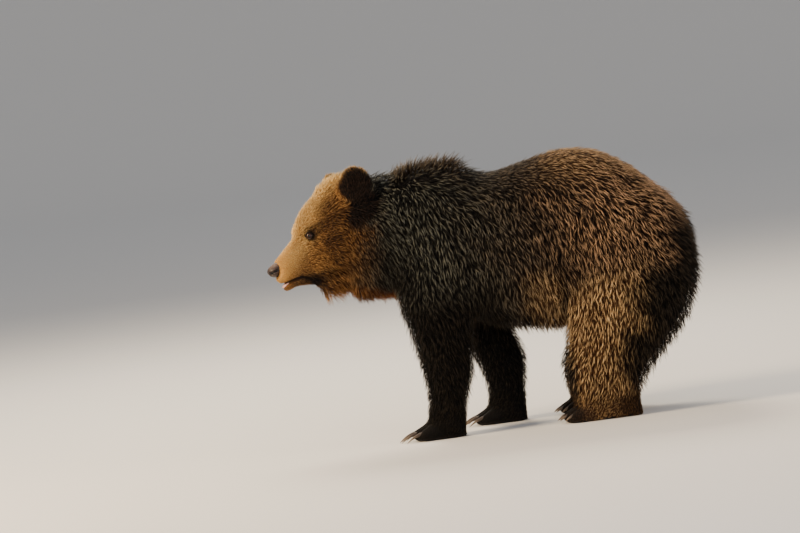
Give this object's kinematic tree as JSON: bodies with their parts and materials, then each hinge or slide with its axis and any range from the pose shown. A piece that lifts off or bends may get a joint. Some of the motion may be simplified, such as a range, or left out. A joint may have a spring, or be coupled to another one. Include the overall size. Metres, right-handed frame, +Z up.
{
  "type": "brown bear",
  "caption": "Life-size brown bear standing on all fours, head lowered and turned to its left, with a shaggy grizzled coat and lips just parted.",
  "frame": {"origin": "on the floor under the middle of the animal's bounding box", "axes": "+Z up, the bear faces -X, and its left side is at -Y"},
  "size_m": [1.4032, 0.5004, 0.9259],
  "materials": {
    "coat_golden": "short golden-brown fur",
    "coat_dark": "near-black brown fur",
    "coat_grizzled": "long dark olive-brown fur with pale grey tips",
    "coat_brown": "long dark brown fur with tan tips",
    "nose_leather": "moist pebbled skin",
    "eye": "wet and glossy, dark brown",
    "tongue": "wet pink flesh"
  },
  "bodies": {
    "root": {"head": "coat_golden", "jaw": "coat_golden", "tongue": "tongue", "nose": "nose_leather", "ear_left": "coat_dark", "ear_right": "coat_dark", "eye_left": "eye", "eye_right": "eye", "neck": "coat_grizzled", "trunk": "coat_brown", "tail": "coat_brown", "shoulder_left": "coat_dark", "forearm_left": "coat_dark", "forepaw_left": "coat_dark", "shoulder_right": "coat_dark", "forearm_right": "coat_dark", "forepaw_right": "coat_dark", "thigh_left": "coat_brown", "shank_left": "coat_brown", "hind_paw_left": "coat_dark", "thigh_right": "coat_brown", "shank_right": "coat_brown", "hind_paw_right": "coat_dark"}
  },
  "joints": []
}
